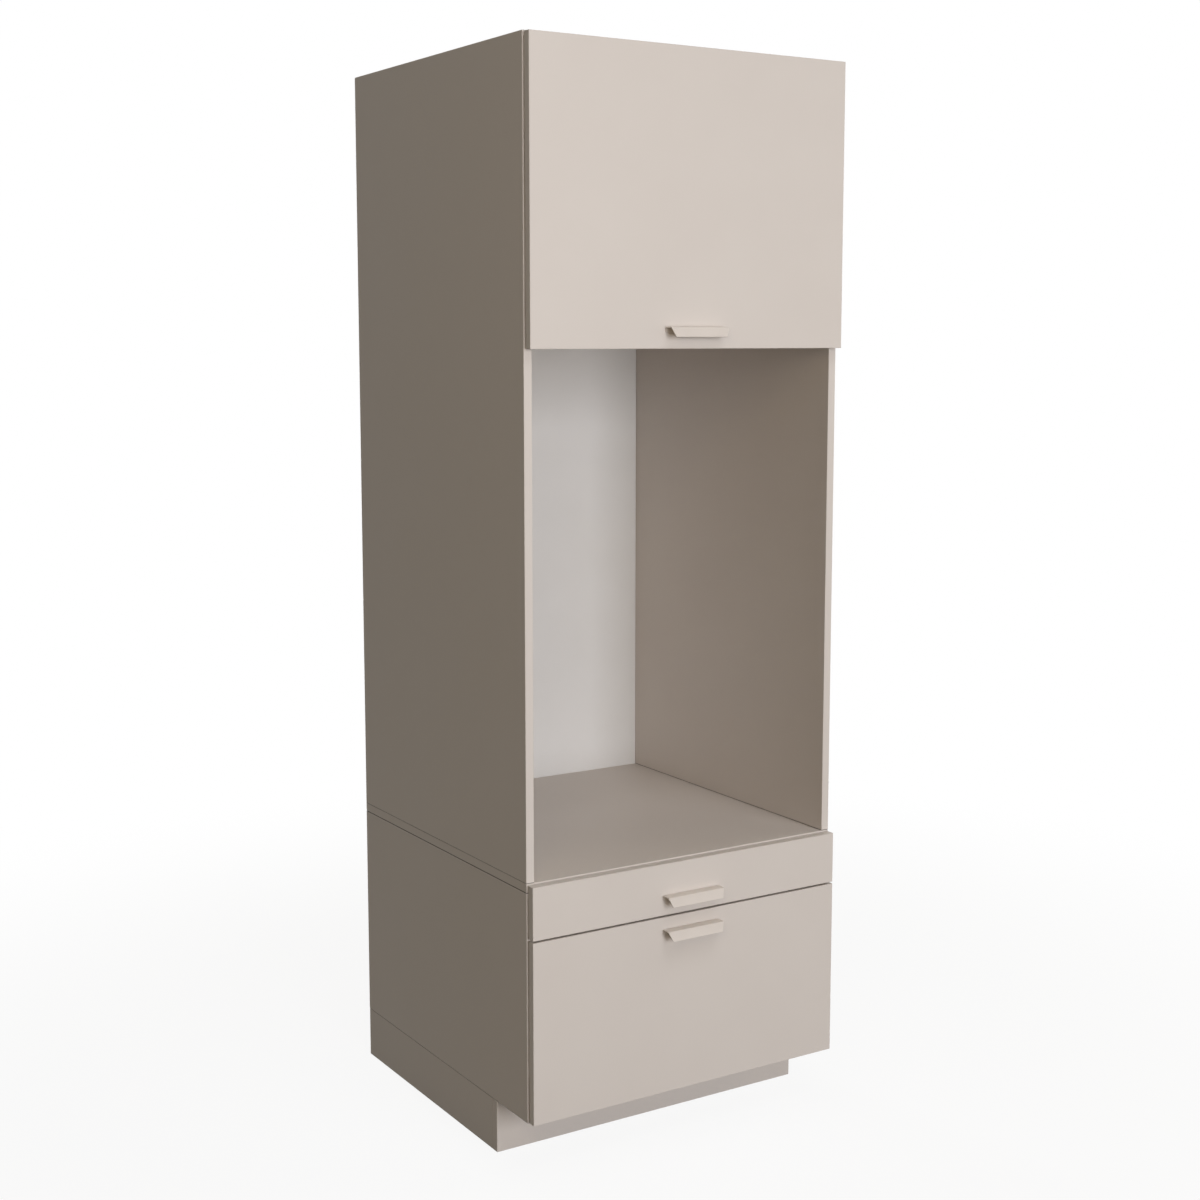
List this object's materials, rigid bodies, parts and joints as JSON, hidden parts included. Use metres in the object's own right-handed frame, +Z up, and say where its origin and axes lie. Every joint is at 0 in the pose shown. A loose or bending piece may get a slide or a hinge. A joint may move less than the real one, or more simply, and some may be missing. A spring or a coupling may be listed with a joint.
{
  "type": "washing machine cabinet",
  "caption": "Tall laundry cabinet: open bay for a washing machine at working height, lift-up cupboard flap above, pull-out board and deep drawer below, on a set-back plinth.",
  "frame": {"origin": "middle of the cabinet's footprint on the floor, fronts and handles counted", "axes": "+Z up, -Y out of the fronts towards the user, +X to the right of someone who looks at the fronts"},
  "size_m": [0.675, 0.7103, 1.991],
  "materials": {
    "melamine_board": "matt warm light grey-beige melamine",
    "melamine_front": "matt warm light grey-beige laminate",
    "back_sheet": "thin lacquered fibre sheet",
    "drawer_board": "light melamine drawer board",
    "handle_lacquer": "satin lacquer in the colour of the fronts",
    "zinc_steel": "bright zinc plate",
    "strut_black": "satin black lacquer",
    "strut_rod_chrome": "polished"
  },
  "bodies": {
    "carcass": {"plinth_front": "melamine_board", "plinth_left": "melamine_board", "plinth_right": "melamine_board", "plinth_rear": "melamine_board", "base_left_side": "melamine_board", "base_right_side": "melamine_board", "base_bottom": "melamine_board", "base_rear_rail": "melamine_board", "base_back_panel": "back_sheet", "bay_floor": "melamine_board", "upper_left_side": "melamine_board", "upper_right_side": "melamine_board", "top_board": "melamine_board", "bay_ceiling": "melamine_board", "upper_back_panel": "back_sheet", "wall_angle_left": "zinc_steel", "wall_angle_right": "zinc_steel", "cupboard_shelf": "melamine_board", "shelf_pin_left_front": "zinc_steel", "shelf_pin_left_rear": "zinc_steel", "shelf_pin_right_front": "zinc_steel", "shelf_pin_right_rear": "zinc_steel", "hinge_leaf_carcass": "zinc_steel", "hinge_pin": "zinc_steel", "strut_side_bracket_left": "zinc_steel", "strut_side_bracket_right": "zinc_steel", "pullout_runner_left_fixed": "zinc_steel", "pullout_runner_right_fixed": "zinc_steel", "drawer_runner_left_fixed": "zinc_steel", "drawer_runner_right_fixed": "zinc_steel"},
    "flap": {"flap_panel": "melamine_front", "flap_handle": "handle_lacquer", "hinge_leaf_flap": "zinc_steel", "strut_flap_bracket_left": "zinc_steel", "strut_flap_bracket_right": "zinc_steel"},
    "strut_tubes": {"strut_tube_left": "strut_black", "strut_tube_right": "strut_black"},
    "strut_rods": {"strut_rod_left": "strut_rod_chrome", "strut_rod_right": "strut_rod_chrome"},
    "pullout": {"pullout_front": "melamine_front", "pullout_handle": "handle_lacquer", "pullout_board": "melamine_board", "pullout_cleat_left": "melamine_board", "pullout_cleat_right": "melamine_board", "pullout_runner_left_moving": "zinc_steel", "pullout_runner_right_moving": "zinc_steel"},
    "pullout_middle_runners": {"pullout_runner_left_middle": "zinc_steel", "pullout_runner_right_middle": "zinc_steel"},
    "drawer": {"drawer_front": "melamine_front", "drawer_handle": "handle_lacquer", "drawer_side_left": "drawer_board", "drawer_side_right": "drawer_board", "drawer_back": "drawer_board", "drawer_bottom": "drawer_board", "drawer_runner_left_moving": "zinc_steel", "drawer_runner_right_moving": "zinc_steel"},
    "drawer_middle_runners": {"drawer_runner_left_middle": "zinc_steel", "drawer_runner_right_middle": "zinc_steel"}
  },
  "joints": [
    {"name": "flap_hinge", "type": "hinge", "parent": "carcass", "child": "flap", "pos_m": [0, -0.3122, 1.9892], "axis": [-1, 0, 0], "range_deg": [0, 90]},
    {"name": "strut_swing", "type": "hinge", "parent": "carcass", "child": "strut_tubes", "pos_m": [0, -0.1472, 1.9492], "axis": [-1, 0, 0], "range_deg": [0, 11.35]},
    {"name": "strut_stroke", "type": "slide", "parent": "strut_tubes", "child": "strut_rods", "axis": [0, -0.9969, -0.0793], "range_m": [0, 0.06717]},
    {"name": "pullout_slide", "type": "slide", "parent": "carcass", "child": "pullout", "axis": [0, -1, 0], "range_m": [0, 0.42]},
    {"name": "pullout_middle_slide", "type": "slide", "parent": "carcass", "child": "pullout_middle_runners", "axis": [0, -1, 0], "range_m": [0, 0.21]},
    {"name": "drawer_slide", "type": "slide", "parent": "carcass", "child": "drawer", "axis": [0, -1, 0], "range_m": [0, 0.48]},
    {"name": "drawer_middle_slide", "type": "slide", "parent": "carcass", "child": "drawer_middle_runners", "axis": [0, -1, 0], "range_m": [0, 0.24]}
  ],
  "couplings": [
    {"joint": "strut_swing", "follows": "flap_hinge", "ratio": 0.12615},
    {"joint": "strut_stroke", "follows": "flap_hinge", "m_per_rad": 0.042758},
    {"joint": "pullout_middle_slide", "follows": "pullout_slide", "ratio": 0.5},
    {"joint": "drawer_middle_slide", "follows": "drawer_slide", "ratio": 0.5}
  ]
}
